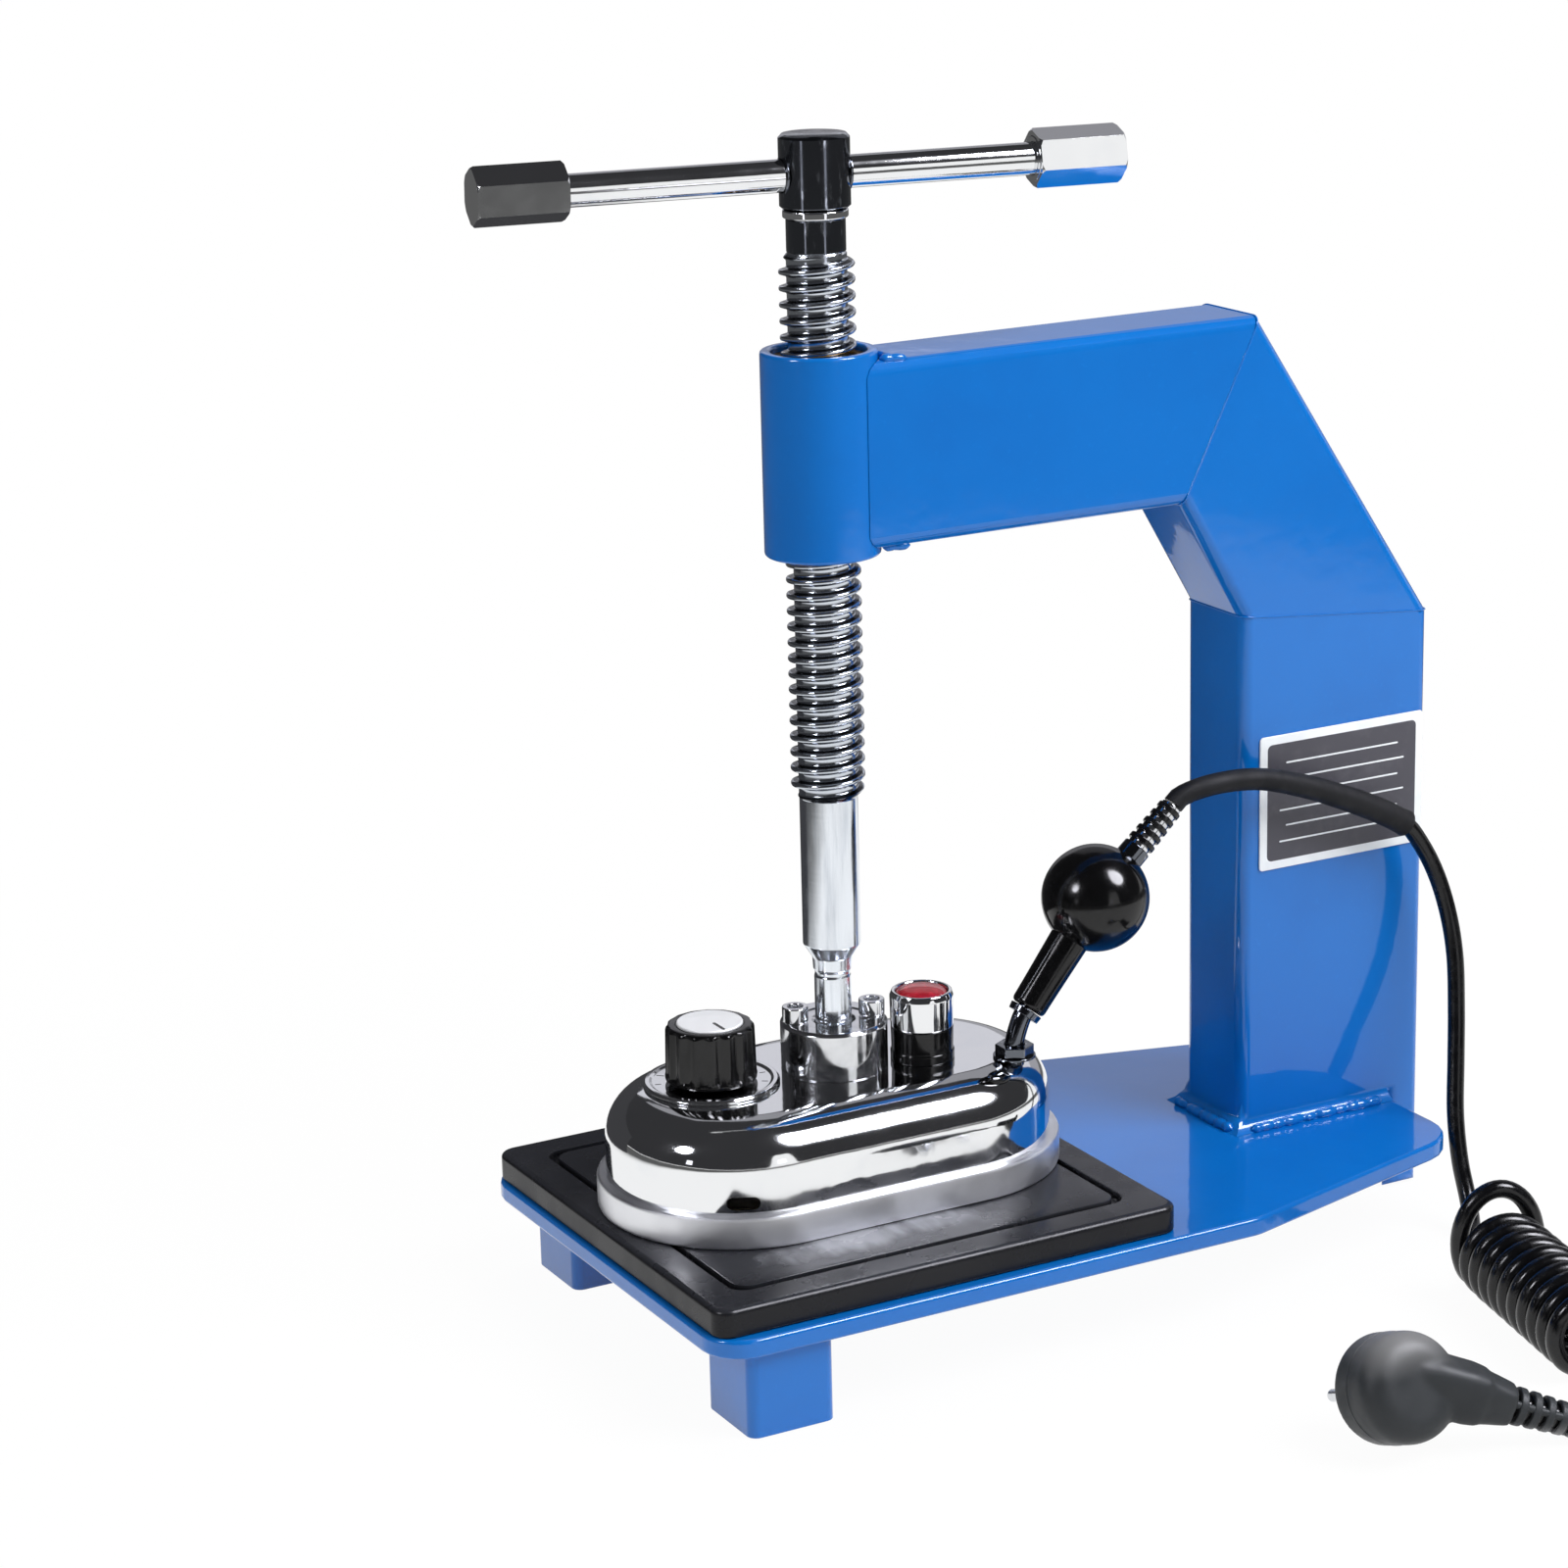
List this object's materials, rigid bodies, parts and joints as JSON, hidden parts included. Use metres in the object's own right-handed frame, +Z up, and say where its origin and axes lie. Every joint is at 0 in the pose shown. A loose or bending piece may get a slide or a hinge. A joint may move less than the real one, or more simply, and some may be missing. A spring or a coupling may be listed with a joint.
{
  "type": "tire vulcanizer",
  "caption": "Bench press with a bent tube frame that clamps a chrome electric heater head on a rubber pad by a coarse screw and T-bar, with a cord and plug.",
  "frame": {"origin": "middle of the footprint on the floor, measured without the cord, its coil and its plug", "axes": "+X from the pad to the column, +Y away from the side with the lifting handle, +Z up along the screw"},
  "size_m": [0.3926, 0.3571, 0.4504],
  "materials": {
    "paint": "gloss blue enamel",
    "chrome": "mirror plated",
    "steel": "bright zinc plated",
    "black_chrome": "black plated",
    "heater_aluminium": "satin",
    "bronze": "machined",
    "pad_rubber": "satin moulded",
    "label": "printed, bare",
    "black_plastic": "gloss",
    "grey_plastic": "satin",
    "red_lens": "clear red",
    "board": "fibre board",
    "cord_rubber": "gloss black"
  },
  "bodies": {
    "frame": {"base_plate": "paint", "front_foot_near": "paint", "front_foot_far": "paint", "column_tube": "paint", "knee_tube": "paint", "arm_tube": "paint", "screw_boss": "paint", "screw_nut": "bronze", "rubber_pad": "pad_rubber", "label_plate": "label", "cord": "cord_rubber", "cord_coil": "cord_rubber", "cord_tail": "cord_rubber", "plug_body": "grey_plastic", "plug_pin_left": "steel", "plug_pin_right": "steel", "plug_relief": "grey_plastic"},
    "head": {"heater_plate": "heater_aluminium", "heating_element": "steel", "insulation_board": "board", "pressure_post": "steel", "head_cover": "chrome", "swivel_collar": "steel", "collar_screw_front": "steel", "collar_screw_rear": "steel", "thrust_ball": "steel", "thermostat": "grey_plastic", "dial_ring": "chrome", "lamp_body": "black_plastic", "lamp_bezel": "chrome", "lamp_lens": "red_lens", "terminal_block": "grey_plastic", "handle_stud": "steel", "stud_nut": "steel", "handle_grip": "black_plastic", "handle_ball": "black_plastic", "strain_relief": "cord_rubber"},
    "screw": {"spindle": "steel", "hub_ring": "chrome", "spindle_hub": "black_chrome", "retaining_ring": "steel"},
    "bar": {"tommy_bar": "chrome", "bar_cap_right": "chrome", "bar_cap_left": "chrome"},
    "knob": {"control_knob": "black_plastic", "knob_disc": "heater_aluminium", "thermostat_shaft": "steel"}
  },
  "joints": [
    {"name": "head_lift", "type": "slide", "parent": "frame", "child": "head", "axis": [0, 0, 1], "range_m": [0, 0.09], "deforming": ["cord"]},
    {"name": "screw_turn", "type": "hinge", "parent": "head", "child": "screw", "pos_m": [-0.06801, 0, 0.2], "axis": [0, 0, 1], "range_deg": [0, 5400]},
    {"name": "bar_slide", "type": "slide", "parent": "screw", "child": "bar", "axis": [0.9854, -0.1702, 0], "range_m": [-0.071, 0.08]},
    {"name": "knob_turn", "type": "hinge", "parent": "head", "child": "knob", "pos_m": [-0.11741, 0.007, 0.12], "axis": [0, 0, 1], "range_deg": [-270, 0]}
  ],
  "couplings": [
    {"joint": "head_lift", "follows": "screw_turn", "m_per_rad": 0.00095493}
  ]
}
